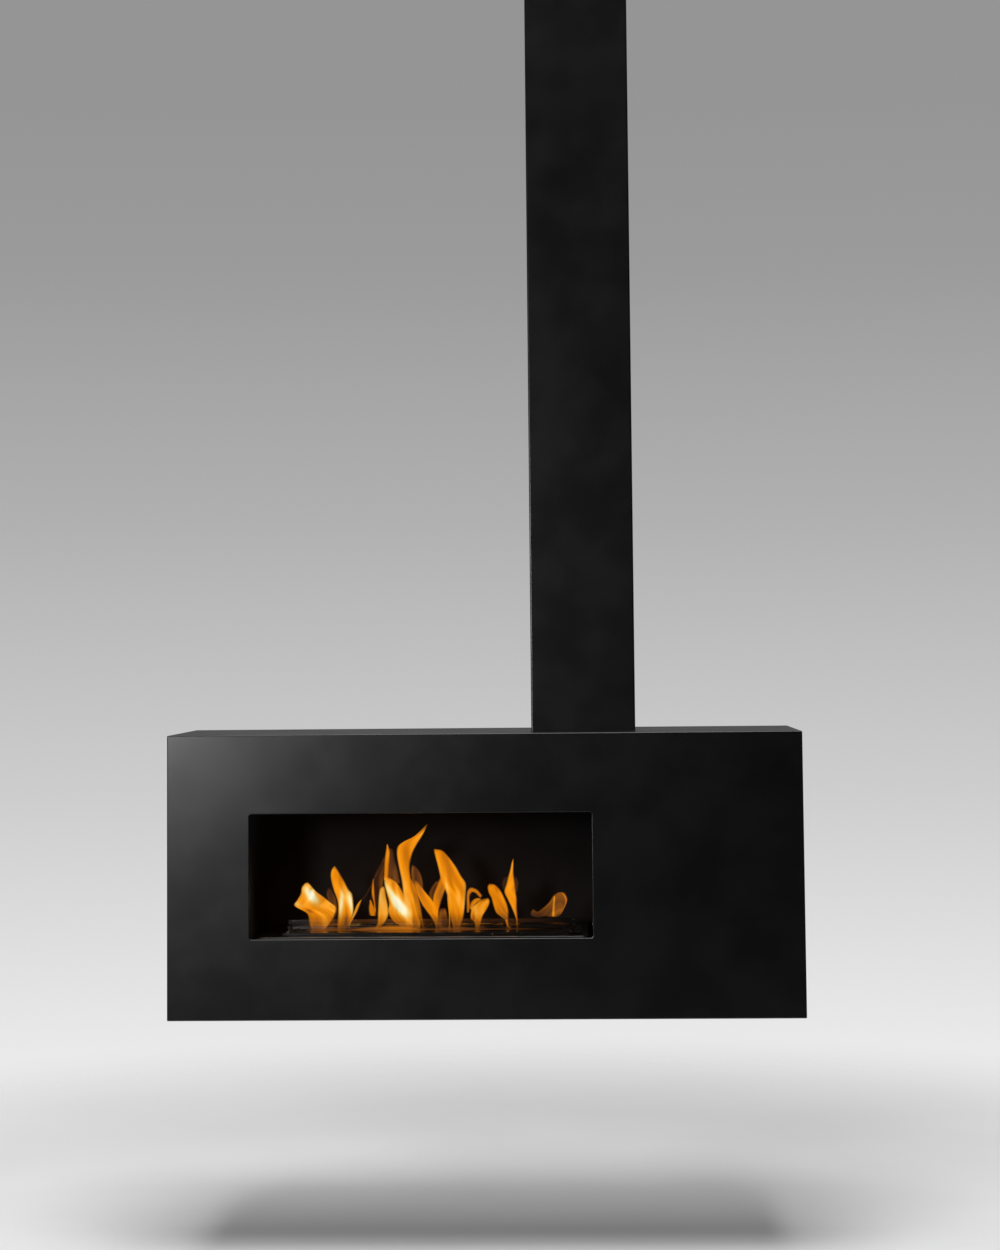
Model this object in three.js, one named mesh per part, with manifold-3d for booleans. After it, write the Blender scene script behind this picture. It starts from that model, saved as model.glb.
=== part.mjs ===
// A hanging bioethanol fireplace: a wide casing of welded steel plate that hangs from the ceiling by
// an off-centre square column, with a firebox and a linear burner behind an off-centre opening.
//
// Units are millimetres. +Z is up, -Y is the front and +X is to the right. The origin is the middle
// of the ceiling plate's upper face, where the object meets the ceiling.

import * as THREE from 'three';
import { mergeVertices } from 'three/addons/utils/BufferGeometryUtils.js';
import Module from 'manifold-3d';

const wasm = await Module();
wasm.setup();

// Sheet metal and fits.
const sheet = 2;
const thin_sheet = 1.5;
const bend = 3;
const seat = 0.3;
const panel_play = 1;

// Casing.
const casing_width = 1200;
const casing_height = 534;
const casing_depth = 380;
const casing_edge = 1.8;
const rear_flange = 18;
const vent_length = 60;
const vent_height = 6;
const vent_spacing = 90;
const vent_count = 12;
const vent_margin = 46;

// Opening in the casing's front.
const opening_width = 646;
const opening_height = 234;
const opening_left = 156;
const opening_bottom = 151;
const opening_corner = 4;

// Column and what hangs inside it.
const column_width = 203;
const column_depth = 200;
const column_height = 1500;
const column_shift = 188;
const column_lip = 20;
const column_top_gap = 2;
const ceiling_plate_size = 188;
const ceiling_plate_thickness = 8;
const ceiling_plate_corner = 10;
const ceiling_hole = 13;
const ceiling_hole_spacing = 142;
const tube_size = 80;
const tube_wall = 4;
const tube_corner = 8;
const hanger_flange_width = 180;
const flange_thickness = 10;
const hanger_bolt_spacing = 120;
const hanger_bolt = 12;
const hanger_bolt_play = 1;
const hanger_bolt_head = 18;
const hanger_bolt_head_height = 7.5;
const hanger_nut_height = 10;
const hanger_bolt_tail = 4;
const channel_height = 40;
const channel_flange = 34;
const channel_sheet = 3;
const channel_bend = 5;

// Firebox behind the opening.
const firebox_depth = 300;
const firebox_headroom = 44;
const firebox_flange = 20;
const floor_drop = 12;
const stand_width = 24;
const stand_margin = 20;
const shield_gap = 20;
const shield_margin = 24;
const shield_foot = 12;

// Burner deck, the raised tray that the burner hangs in.
const deck_rise = 1;
const deck_side_gap = 8;
const deck_front_gap = 28;
const deck_back_gap = 6;
const deck_corner = 10;

// Burner.
const burner_shift = 12;
const burner_front = 45;
const burner_end_gap = 33;
const burner_depth = 170;
const burner_corner = 22;
const tank_ledge = 26;
const tank_height = 60;
const tank_corner = 12;
const tank_play = 1.5;
const well_play = 5;
const well_drop = 14;
const well_flange = 12;
const slot_end_margin = 35;
const slot_width = 44;
const slot_corner = 5;
const slot_well = 12;
const screen_sheet = 1;
const screen_border = 4;
const screen_hole_length = 15;
const screen_hole_width = 7;
const screen_spacing = 20;
const screen_rows = 4;
const wick_margin = 3;

// Sliding lid that opens and closes the slot.
const lid_lap = 8;
const lid_side_lap = 3;
const lid_hook_hole = 9;
const lid_hook_spacing = 240;
const lid_hook_margin = 10;
const rail_sheet = 1.2;
const rail_foot = 13;
const rail_lip = 7;
const rail_headroom = 0.4;

// Guard strip behind the slot.
const guard_foot = 22;
const guard_height = 12;
const guard_margin = 6;
const guard_screw_margin = 6;
const guard_screw_count = 5;

// Dome-head screws.
const screw_shank = 4;
const screw_head = 8;
const screw_head_height = 2.2;
const screw_length = 8;
const screw_socket = 2.5;
const screw_socket_depth = 1.3;
const column_screw_rows = 3;
const column_screw_margin = 60;

// Planes and lines that follow from the sizes above, in the object's frame.
const casing_left = -casing_width / 2 - column_shift;
const casing_back = column_depth / 2;
const casing_front = casing_back - casing_depth;
const casing_bottom = -column_height - casing_height;
const flange_bottom = -column_height + seat;
const flange_top = flange_bottom + flange_thickness;
const channel_top = -column_height - sheet - seat;
const burner_length = opening_width - 2 * burner_end_gap;
const tank_length = burner_length - 2 * tank_ledge;
const tank_depth = burner_depth - 2 * tank_ledge;
const slot_length = burner_length - 2 * slot_end_margin;

const arc_steps = 3;
const round_steps = 16;
const small_round_steps = 10;
const overcut = 5;

const black_coat = new THREE.MeshStandardMaterial({ color: 0x1b1b1c, roughness: 0.45, metalness: 0.1 });
const black_inside = new THREE.MeshStandardMaterial({ color: 0x101010, roughness: 0.7, metalness: 0.1 });
const bare_steel = new THREE.MeshStandardMaterial({ color: 0x8d9094, roughness: 0.5, metalness: 0.9 });
const stainless = new THREE.MeshStandardMaterial({ color: 0xb4b6b8, roughness: 0.3, metalness: 1 });
const zinc = new THREE.MeshStandardMaterial({ color: 0x9fa2a6, roughness: 0.4, metalness: 0.9 });
const ceramic_wool = new THREE.MeshStandardMaterial({ color: 0xe6e1d6, roughness: 1, metalness: 0 });

// A closed geometry as a solid that can be joined and cut.
function solid(geometry) {
  const bare = geometry.clone();
  bare.deleteAttribute('normal');
  bare.deleteAttribute('uv');
  const merged = mergeVertices(bare, 1e-4);
  return new wasm.Manifold(new wasm.Mesh({
    numProp: 3,
    vertProperties: new Float32Array(merged.attributes.position.array),
    triVerts: new Uint32Array(merged.index.array),
  }));
}

function piece(name, material, form) {
  let geometry = form;
  if (!form.isBufferGeometry) {
    const { vertProperties, triVerts } = form.getMesh();
    geometry = new THREE.BufferGeometry();
    geometry.setAttribute('position', new THREE.BufferAttribute(vertProperties, 3));
    geometry.setIndex(new THREE.BufferAttribute(triVerts, 1));
    geometry.computeVertexNormals();
  }
  const mesh = new THREE.Mesh(geometry, material);
  mesh.name = name;
  return mesh;
}

function box(left, right, front, back, bottom, top) {
  const geometry = new THREE.BoxGeometry(right - left, back - front, top - bottom);
  return geometry.translate((left + right) / 2, (front + back) / 2, (bottom + top) / 2);
}

// Outline of a rectangle with round corners, anticlockwise.
function rounded_rectangle(left, right, bottom, top, radius, steps = arc_steps) {
  const corners = [
    [right - radius, bottom + radius, -90],
    [right - radius, top - radius, 0],
    [left + radius, top - radius, 90],
    [left + radius, bottom + radius, 180],
  ];
  const points = [];
  for (const [x, y, start] of corners) {
    for (let step = 0; step <= steps; step += 1) {
      const angle = THREE.MathUtils.degToRad(start + (90 * step) / steps);
      points.push(new THREE.Vector2(x + radius * Math.cos(angle), y + radius * Math.sin(angle)));
    }
  }
  return points;
}

function centred_rectangle(length, depth, radius, steps = arc_steps) {
  return rounded_rectangle(-length / 2, length / 2, -depth / 2, depth / 2, radius, steps);
}

function circle(x, y, diameter, steps = round_steps) {
  const points = [];
  for (let step = 0; step < steps; step += 1) {
    const angle = (2 * Math.PI * step) / steps;
    const across = (diameter / 2) * Math.cos(angle);
    const up = (diameter / 2) * Math.sin(angle);
    points.push(new THREE.Vector2(x + across, y + up));
  }
  return points;
}

// Outline of a sheet folded along a line of points. The line is the sheet's left face as one walks
// along it, and each bend has the same outer radius.
function folded_sheet(face, thickness, outer_radius = bend) {
  const heading = (from, to) => new THREE.Vector2().subVectors(to, from).normalize();
  const right_of = (direction) => new THREE.Vector2(direction.y, -direction.x);
  const line = face.map(([x, y]) => new THREE.Vector2(x, y));
  const last = line.length - 1;
  const near = [line[0]];
  const far = [line[0].clone().addScaledVector(right_of(heading(line[0], line[1])), thickness)];
  for (let corner = 1; corner < last; corner += 1) {
    const arriving = heading(line[corner - 1], line[corner]);
    const leaving = heading(line[corner], line[corner + 1]);
    const turn = Math.sign(arriving.cross(leaving));
    const angle = Math.acos(THREE.MathUtils.clamp(arriving.dot(leaving), -1, 1));
    const near_radius = turn < 0 ? outer_radius : outer_radius - thickness;
    const far_radius = turn < 0 ? outer_radius - thickness : outer_radius;
    const start = line[corner].clone().addScaledVector(arriving, -near_radius * Math.tan(angle / 2));
    const centre = start.clone().addScaledVector(right_of(arriving), -turn * near_radius);
    const spoke = right_of(arriving).multiplyScalar(turn);
    for (let step = 0; step <= arc_steps; step += 1) {
      const turned = spoke.clone().rotateAround(new THREE.Vector2(), (turn * angle * step) / arc_steps);
      near.push(centre.clone().addScaledVector(turned, near_radius));
      far.push(centre.clone().addScaledVector(turned, far_radius));
    }
  }
  near.push(line[last]);
  far.push(line[last].clone().addScaledVector(right_of(heading(line[last - 1], line[last])), thickness));
  return [...near, ...far.reverse()];
}

function extruded(outline, length, holes) {
  const shape = new THREE.Shape(outline);
  shape.holes = holes.map((hole) => new THREE.Path(hole));
  return new THREE.ExtrudeGeometry(shape, { depth: length, bevelEnabled: false });
}

// An outline of (x, y) points, extruded up from bottom to top.
function extruded_up(outline, bottom, top, holes = []) {
  return extruded(outline, top - bottom, holes).translate(0, 0, bottom);
}

// An outline of (x, z) points, extruded back from front to back.
function extruded_back(outline, front, back, holes = []) {
  return extruded(outline, back - front, holes).rotateX(Math.PI / 2).translate(0, back, 0);
}

// An outline of (y, z) points, extruded to the right from left to right.
function extruded_right(outline, left, right, holes = []) {
  const standing = extruded(outline, right - left, holes).rotateX(Math.PI / 2);
  return standing.rotateZ(Math.PI / 2).translate(left, 0, 0);
}

// A block lofted down through round-cornered rectangles: each layer grows the base rectangle by its
// own margin at its own depth under the top.
function lofted_down(base, layers) {
  const positions = [];
  for (const { depth, margin } of layers) {
    const radius = Math.max(base.corner + margin, 0.1);
    const outline = rounded_rectangle(
      base.left - margin, base.right + margin, base.bottom - margin, base.top + margin, radius);
    outline.forEach((point) => positions.push(point.x, point.y, -depth));
  }
  const ring = positions.length / 3 / layers.length;
  const index = [];
  for (let layer = 0; layer < layers.length - 1; layer += 1) {
    for (let point = 0; point < ring; point += 1) {
      const here = layer * ring + point;
      const next = layer * ring + ((point + 1) % ring);
      index.push(here, here + ring, next, next, here + ring, next + ring);
    }
  }
  const bottom_ring = (layers.length - 1) * ring;
  for (let point = 1; point < ring - 1; point += 1) {
    index.push(0, point, point + 1);
    index.push(bottom_ring, bottom_ring + point + 1, bottom_ring + point);
  }
  const geometry = new THREE.BufferGeometry();
  geometry.setAttribute('position', new THREE.Float32BufferAttribute(positions, 3));
  geometry.setIndex(index);
  return geometry;
}

// The same, lofted back from the front: a layer's depth is then its y.
function lofted_back(base, layers) {
  return lofted_down(base, layers).rotateX(Math.PI / 2);
}

// Layers of an edge rounded outwards, from its first depth to where it is straight.
function rounded_edge(depth, radius, margin = 0) {
  const layers = [];
  for (let step = 0; step <= arc_steps; step += 1) {
    const angle = (Math.PI / 2) * (step / arc_steps);
    layers.push({
      depth: depth + radius * (1 - Math.cos(angle)),
      margin: margin - radius * (1 - Math.sin(angle)),
    });
  }
  return layers;
}

// Layers of a mouth that narrows over its own rounded edge.
function flared_mouth(depth, radius) {
  const layers = [{ depth: depth - overcut, margin: radius }];
  for (let step = 0; step <= arc_steps; step += 1) {
    const angle = (Math.PI / 2) * (step / arc_steps);
    layers.push({
      depth: depth + radius * (1 - Math.cos(angle)),
      margin: radius * (1 - Math.sin(angle)),
    });
  }
  return layers;
}

// A dome-head screw with a hexagon socket. Its head's underside is at the origin and it points down.
function dome_screw(length) {
  const head = screw_head / 2;
  const profile = [
    [0, screw_head_height],
    [0.6 * head, 0.86 * screw_head_height],
    [head, 0.25 * screw_head_height],
    [head, 0],
    [screw_shank / 2, 0],
    [screw_shank / 2, -length],
    [0, -length],
  ];
  const points = profile.map(([x, y]) => new THREE.Vector2(x, y)).reverse();
  const body = solid(new THREE.LatheGeometry(points, small_round_steps).rotateX(Math.PI / 2));
  const socket_bottom = screw_head_height - screw_socket_depth;
  const socket = extruded_up(circle(0, 0, screw_socket, 6), socket_bottom, screw_head_height + overcut);
  return body.subtract(solid(socket));
}

function hexagon(across_flats) {
  return circle(0, 0, across_flats / Math.cos(Math.PI / 6), 6);
}

// Hanger: the load path from the ceiling to the casing, inside the column.

function ceiling_plate() {
  const at = ceiling_hole_spacing / 2;
  const holes = [[-at, -at], [at, -at], [at, at], [-at, at]].map(([x, y]) => circle(x, y, ceiling_hole));
  const outline = centred_rectangle(ceiling_plate_size, ceiling_plate_size, ceiling_plate_corner);
  return piece('ceiling_plate', bare_steel, extruded_up(outline, -ceiling_plate_thickness, 0, holes));
}

function hanger_tube() {
  const outer = centred_rectangle(tube_size, tube_size, tube_corner);
  const bore_size = tube_size - 2 * tube_wall;
  const bore = centred_rectangle(bore_size, bore_size, tube_corner - tube_wall);
  return piece('hanger_tube', bare_steel,
    extruded_up(outer, flange_top + seat, -ceiling_plate_thickness - seat, [bore]));
}

const hanger_bolt_places = [[-1, -1], [1, -1], [1, 1], [-1, 1]].map(
  ([x, y]) => [(x * hanger_bolt_spacing) / 2, (y * hanger_bolt_spacing) / 2]);

function hanger_flange() {
  const holes = hanger_bolt_places.map(([x, y]) => circle(x, y, hanger_bolt + hanger_bolt_play));
  const outline = centred_rectangle(hanger_flange_width, hanger_flange_width, ceiling_plate_corner);
  return piece('hanger_flange', bare_steel, extruded_up(outline, flange_bottom, flange_top, holes));
}

const nut_top = channel_top - channel_sheet;
const nut_bottom = nut_top - hanger_nut_height;

function hanger_bolts() {
  const shank_bottom = nut_bottom - hanger_bolt_tail;
  const head_bottom = flange_top + seat;
  return hanger_bolt_places.map(([x, y], number) => {
    const head = extruded_up(hexagon(hanger_bolt_head), head_bottom, head_bottom + hanger_bolt_head_height);
    const shank = extruded_up(circle(0, 0, hanger_bolt), shank_bottom, head_bottom + 1);
    const bolt = piece(`hanger_bolt_${number + 1}`, zinc, solid(head).add(solid(shank)));
    bolt.position.set(x, y, 0);
    return bolt;
  });
}

// Two channels under the casing's top spread the load over its width. Their toes face each other,
// and each has two weld nuts.
function support_channels() {
  const left = casing_left + sheet + seat;
  const right = casing_left + casing_width - sheet - seat;
  const bolt_y = hanger_bolt_spacing / 2;
  const heel = bolt_y + channel_flange / 2;
  const toe = bolt_y - channel_flange / 2;
  const bottom = channel_top - channel_height;
  const pieces = [];
  for (const [name, side] of [['support_channel_front', -1], ['support_channel_rear', 1]]) {
    let face = [
      [side * toe, channel_top],
      [side * heel, channel_top],
      [side * heel, bottom],
      [side * toe, bottom],
    ];
    if (side < 0) {
      face = face.reverse();
    }
    const profile = folded_sheet(face, channel_sheet, channel_bend);
    let channel = solid(extruded_right(profile, left, right));
    for (const x of [-bolt_y, bolt_y]) {
      const nut = extruded_up(hexagon(hanger_bolt_head), nut_bottom, nut_top + channel_sheet / 2);
      const round = circle(0, 0, hanger_bolt + 2 * seat);
      const bore = extruded_up(round, nut_bottom - overcut, channel_top + overcut);
      channel = channel.add(solid(nut).translate(x, side * bolt_y, 0));
      channel = channel.subtract(solid(bore).translate(x, side * bolt_y, 0));
    }
    pieces.push(piece(name, bare_steel, channel));
  }
  return pieces;
}

// Column: a folded cover, open at the back, and the panel that closes it.

const column_panel_back = column_depth / 2 - screw_head_height - seat;
const column_lip_back = column_panel_back - thin_sheet - seat;
const column_bottom = -column_height + seat;
const column_top = -column_top_gap;
const column_screw_x = column_width / 2 - column_lip / 2 - bend / 2;
const column_screw_heights = [...Array(column_screw_rows).keys()].map((row) => {
  const lowest = column_bottom + column_screw_margin;
  const highest = column_top - column_screw_margin;
  return lowest + (row * (highest - lowest)) / (column_screw_rows - 1);
});

function screw_holes(places, front, back) {
  const outlines = places.map(([x, z]) => circle(x, z, screw_shank + 2 * seat, small_round_steps));
  return outlines.map((outline) => solid(extruded_back(outline, front, back)));
}

const column_screw_places = column_screw_heights.flatMap((z) => [[-column_screw_x, z], [column_screw_x, z]]);

function column_cover() {
  const half = column_width / 2;
  const front = -column_depth / 2;
  const face = [
    [half - column_lip, column_lip_back],
    [half, column_lip_back],
    [half, front],
    [-half, front],
    [-half, column_lip_back],
    [-half + column_lip, column_lip_back],
  ];
  const profile = folded_sheet(face, thin_sheet);
  let cover = solid(extruded_up(profile, column_bottom, column_top));
  for (const hole of screw_holes(column_screw_places, column_lip_back - overcut, column_lip_back + overcut)) {
    cover = cover.subtract(hole);
  }
  return piece('column_cover', black_coat, cover);
}

function column_back_panel() {
  const half = column_width / 2 - bend;
  const outline = rounded_rectangle(-half, half, column_bottom, column_top, 1);
  let panel = solid(extruded_back(outline, column_panel_back - thin_sheet, column_panel_back));
  for (const hole of screw_holes(column_screw_places, column_lip_back, column_panel_back + overcut)) {
    panel = panel.subtract(hole);
  }
  return piece('column_back_panel', black_coat, panel);
}

// Screws that stand out of a back panel, heads to the rear.
function rear_screws(name, material, places, y) {
  return places.map(([x, z], number) => {
    const screw = piece(`${name}_${number + 1}`, material, dome_screw(screw_length));
    screw.rotation.x = -Math.PI / 2;
    screw.position.set(x, y, z);
    return screw;
  });
}

// Casing, from the lower left corner of its front face.

const casing_panel_back = casing_depth - screw_head_height - seat;
const rear_flange_back = casing_panel_back - thin_sheet - seat;
const casing_seam = sheet + seat;
const opening_outline = {
  left: opening_left,
  right: opening_left + opening_width,
  bottom: opening_bottom,
  top: opening_bottom + opening_height,
  corner: opening_corner,
};

// Front plate with the opening. Its outer edges and the opening's are rounded over.
function casing_front_plate() {
  const base = { left: 0, right: casing_width, bottom: 0, top: casing_height, corner: casing_edge };
  const plate = solid(lofted_back(base, [
    ...rounded_edge(0, casing_edge),
    { depth: sheet, margin: 0 },
  ]));
  const mouth = solid(lofted_back(opening_outline, [
    ...flared_mouth(0, casing_edge),
    { depth: sheet + overcut, margin: 0 },
  ]));
  return piece('casing_front', black_coat, plate.subtract(mouth));
}

// Top, bottom and sides, butted to each other and to the front plate, with the outer corners rounded.
function casing_walls() {
  const outline = rounded_rectangle(0, casing_width, 0, casing_height, casing_edge);
  const wrap = solid(extruded_back(outline, casing_seam, casing_depth));
  const plates = {
    casing_top: [0, casing_width, casing_height - sheet, casing_height],
    casing_bottom: [0, casing_width, 0, sheet],
    casing_left: [0, sheet, casing_seam, casing_height - casing_seam],
    casing_right: [casing_width - sheet, casing_width, casing_seam, casing_height - casing_seam],
  };
  return Object.entries(plates).map(([name, [left, right, bottom, top]]) => {
    let plate = wrap.intersect(solid(box(left, right, 0, casing_depth + overcut, bottom, top)));
    if (name === 'casing_top') {
      for (const [x, y] of hanger_bolt_places) {
        const hole = circle(x - casing_left, y - casing_front, hanger_bolt + hanger_bolt_play);
        plate = plate.subtract(solid(extruded_up(hole, casing_height - sheet - 1, casing_height + overcut)));
      }
    }
    return piece(name, black_coat, plate);
  });
}

// Frame inside the rear of the walls, which the back panel is screwed to.
function casing_rear_frame() {
  const outline = rounded_rectangle(
    casing_seam, casing_width - casing_seam, casing_seam, casing_height - casing_seam, 1, 1);
  const inset = casing_seam + rear_flange;
  const window = rounded_rectangle(inset, casing_width - inset, inset, casing_height - inset, bend);
  let frame = solid(extruded_back(outline, rear_flange_back - sheet, rear_flange_back, [window]));
  const holes = screw_holes(casing_screw_places, rear_flange_back - overcut, rear_flange_back + overcut);
  for (const hole of holes) {
    frame = frame.subtract(hole);
  }
  return piece('casing_rear_frame', black_coat, frame);
}

const casing_screw_inset = casing_seam + rear_flange / 2;
const casing_screw_places = [
  [casing_screw_inset, casing_screw_inset],
  [casing_width / 2, casing_screw_inset],
  [casing_width - casing_screw_inset, casing_screw_inset],
  [casing_width - casing_screw_inset, casing_height / 2],
  [casing_width - casing_screw_inset, casing_height - casing_screw_inset],
  [casing_width / 2, casing_height - casing_screw_inset],
  [casing_screw_inset, casing_height - casing_screw_inset],
  [casing_screw_inset, casing_height / 2],
];

// Back panel with a row of air slots at the foot and one at the head.
function casing_back_panel() {
  const edge = sheet + panel_play;
  const outline = rounded_rectangle(edge, casing_width - edge, edge, casing_height - edge, 2, 2);
  const slots = [];
  for (let slot = 0; slot < vent_count; slot += 1) {
    const middle = casing_width / 2 + (slot - (vent_count - 1) / 2) * vent_spacing;
    for (const z of [vent_margin, casing_height - vent_margin]) {
      slots.push(rounded_rectangle(middle - vent_length / 2, middle + vent_length / 2,
        z - vent_height / 2, z + vent_height / 2, vent_height / 2, 2));
    }
  }
  let panel = solid(extruded_back(outline, rear_flange_back + seat, casing_panel_back, slots));
  for (const hole of screw_holes(casing_screw_places, rear_flange_back, casing_panel_back + overcut)) {
    panel = panel.subtract(hole);
  }
  return piece('casing_back_panel', black_coat, panel);
}

// Firebox, from the opening's lower left corner on the casing's front face. Its sides lie just
// outside the opening's folded edges, its roof is higher than the opening, and the flanges of both
// lie behind the casing's front.

const firebox_left = -sheet - seat;
const firebox_right = opening_width + sheet + seat;
const firebox_front = sheet + seat;
const firebox_floor_top = -floor_drop;
const firebox_ceiling = opening_height + firebox_headroom;

function firebox_sides() {
  const bottom = firebox_floor_top + seat;
  const top = firebox_ceiling + sheet;
  const back = firebox_depth - seat;
  const left = folded_sheet([
    [firebox_left, back],
    [firebox_left, firebox_front],
    [firebox_left - firebox_flange, firebox_front],
  ], sheet);
  const right = folded_sheet([
    [firebox_right + firebox_flange, firebox_front],
    [firebox_right, firebox_front],
    [firebox_right, back],
  ], sheet);
  return [
    piece('firebox_left', black_inside, extruded_up(left, bottom, top)),
    piece('firebox_right', black_inside, extruded_up(right, bottom, top)),
  ];
}

// The roof lies between the sides. Its front is folded down to the opening's upper edge.
function firebox_roof() {
  const face = [
    [firebox_front, opening_height + sheet + seat],
    [firebox_front, firebox_ceiling + sheet],
    [firebox_depth + sheet, firebox_ceiling + sheet],
  ];
  return piece('firebox_roof', black_inside,
    extruded_right(folded_sheet(face, sheet), firebox_left + seat, firebox_right - seat));
}

const burner_x = opening_width / 2 + burner_shift;
const burner_y = burner_front + burner_depth / 2;
const well_length = tank_length + 2 * well_play;
const well_depth = tank_depth + 2 * well_play;

function firebox_floor() {
  const face = [
    [firebox_front, firebox_floor_top - firebox_flange],
    [firebox_front, firebox_floor_top],
    [firebox_depth + sheet, firebox_floor_top],
  ];
  const profile = folded_sheet(face, sheet);
  const folded = solid(extruded_right(profile, firebox_left - sheet, firebox_right + sheet));
  const cut_out = centred_rectangle(well_length, well_depth, tank_corner + well_play);
  const under = firebox_floor_top - sheet - 1;
  const cutter = extruded_up(cut_out, under, firebox_floor_top + overcut).translate(burner_x, burner_y, 0);
  return piece('firebox_floor', black_inside, folded.subtract(solid(cutter)));
}

function firebox_back() {
  return piece('firebox_back', black_inside, box(
    firebox_left - sheet, firebox_right + sheet,
    firebox_depth, firebox_depth + sheet,
    firebox_floor_top + seat, firebox_ceiling - seat));
}

// Channels that stand on the casing's bottom, along the firebox, and carry its floor.
function firebox_stands() {
  const bottom = -opening_bottom + sheet + seat;
  const top = firebox_floor_top - sheet - seat;
  const front_stand = firebox_front + sheet + seat;
  const rear_stand = firebox_depth - stand_width - stand_margin;
  return [['firebox_stand_front', front_stand], ['firebox_stand_rear', rear_stand]].map(([name, front]) => {
    const face = [
      [front + stand_width, bottom],
      [front, bottom],
      [front, top],
      [front + stand_width, top],
    ];
    return piece(name, bare_steel, extruded_right(
      folded_sheet(face, sheet), firebox_left + stand_margin, firebox_right - stand_margin));
  });
}

// Shield over the firebox roof, held off it by its folded legs.
function heat_shield() {
  const foot = firebox_ceiling + sheet + seat;
  const top = foot + shield_gap;
  const left = shield_margin;
  const right = opening_width - shield_margin;
  const face = [
    [left - shield_foot, foot + thin_sheet],
    [left, foot + thin_sheet],
    [left, top],
    [right, top],
    [right, foot + thin_sheet],
    [right + shield_foot, foot + thin_sheet],
  ];
  return piece('heat_shield', bare_steel, extruded_back(
    folded_sheet(face, thin_sheet), shield_margin, firebox_depth - shield_margin));
}

// Safety well under the floor's cut-out. It takes the burner tank and holds what runs over.
function burner_well() {
  const top = firebox_floor_top - sheet - seat;
  const tank_bottom = deck_rise + seat + thin_sheet - tank_height;
  const depth = top - (tank_bottom - well_drop - thin_sheet);
  const base = {
    left: -well_length / 2, right: well_length / 2, bottom: -well_depth / 2, top: well_depth / 2,
    corner: tank_corner + well_play,
  };
  const outer = solid(lofted_down(base, [
    { depth: 0, margin: thin_sheet + well_flange },
    { depth: thin_sheet, margin: thin_sheet + well_flange },
    { depth: thin_sheet, margin: thin_sheet },
    { depth: depth - bend, margin: thin_sheet },
    ...rounded_edge(0, bend, thin_sheet).reverse().map((layer) => ({
      depth: depth - layer.depth, margin: layer.margin,
    })),
  ]));
  const inner = solid(lofted_down(base, [
    { depth: -overcut, margin: 0 },
    { depth: depth - thin_sheet, margin: 0 },
  ]));
  const well = piece('burner_well', stainless, outer.subtract(inner));
  well.position.set(burner_x, burner_y, top);
  return well;
}

// Raised deck that closes the floor round the burner: a tray turned upside down.
function burner_deck() {
  const base = {
    left: deck_side_gap,
    right: opening_width - deck_side_gap,
    bottom: deck_front_gap,
    top: firebox_depth - deck_back_gap,
    corner: deck_corner,
  };
  const height = deck_rise + floor_drop - seat;
  const outer = solid(lofted_down(base, [...rounded_edge(0, bend), { depth: height, margin: 0 }]));
  const inner = solid(lofted_down(base, [
    ...rounded_edge(sheet, bend - sheet, -sheet),
    { depth: height + overcut, margin: -sheet },
  ]));
  const length = tank_length + 2 * tank_play;
  const depth = tank_depth + 2 * tank_play;
  const cut_out = centred_rectangle(length, depth, tank_corner + tank_play);
  const cutter = extruded_up(cut_out, -height, overcut).translate(burner_x, burner_y, 0);
  const deck = piece('burner_deck', black_inside, outer.subtract(inner).subtract(solid(cutter)));
  deck.position.z = deck_rise;
  return deck;
}

// Burner, from the middle of its seat on the deck.

const tank_flange_top = seat + thin_sheet;
const top_plate_bottom = tank_flange_top + seat;
const top_plate_top = top_plate_bottom + thin_sheet;
const screen_top = top_plate_top - slot_well;
const screen_bottom = screen_top - screen_sheet;
const tank_floor = tank_flange_top - tank_height + thin_sheet;

// Open tank with a ledge all round, which hangs in the deck's cut-out.
function burner_tank() {
  const base = {
    left: -tank_length / 2, right: tank_length / 2, bottom: -tank_depth / 2, top: tank_depth / 2,
    corner: tank_corner,
  };
  const ledge = centred_rectangle(burner_length, burner_depth, burner_corner);
  const body = solid(lofted_down(base, [
    { depth: thin_sheet / 2, margin: 0 },
    ...rounded_edge(0, bend).reverse().map((layer) => ({
      depth: tank_height - layer.depth, margin: layer.margin,
    })),
  ]));
  const outer = solid(extruded_up(ledge, -thin_sheet, 0)).add(body);
  const inner = solid(lofted_down(base, [
    { depth: -overcut, margin: -thin_sheet },
    { depth: tank_height - thin_sheet, margin: -thin_sheet },
  ]));
  const tank = outer.subtract(inner).translate(0, 0, tank_flange_top);
  return piece('burner_tank', stainless, cut_screw_holes(tank, burner_screw_places));
}

function cut_screw_holes(form, places) {
  let cut = form;
  for (const [x, y] of places) {
    const outline = circle(x, y, screw_shank + 2 * seat, small_round_steps);
    const hole = extruded_up(outline, -thin_sheet, top_plate_top + overcut);
    cut = cut.subtract(solid(hole));
  }
  return cut;
}

function burner_top() {
  const outline = centred_rectangle(burner_length, burner_depth, burner_corner);
  const slot = centred_rectangle(slot_length, slot_width, slot_corner);
  const plate = solid(extruded_up(outline, top_plate_bottom, top_plate_top, [slot]));
  return piece('burner_top', stainless, cut_screw_holes(plate, burner_screw_places));
}

// Ceramic-fibre wick that fills the tank under the slot.
function burner_wick() {
  const outline = centred_rectangle(slot_length + 2 * wick_margin, slot_width + 2 * wick_margin, slot_corner);
  return piece('burner_wick', ceramic_wool, extruded_up(outline, tank_floor + seat, screen_bottom - seat));
}

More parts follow.
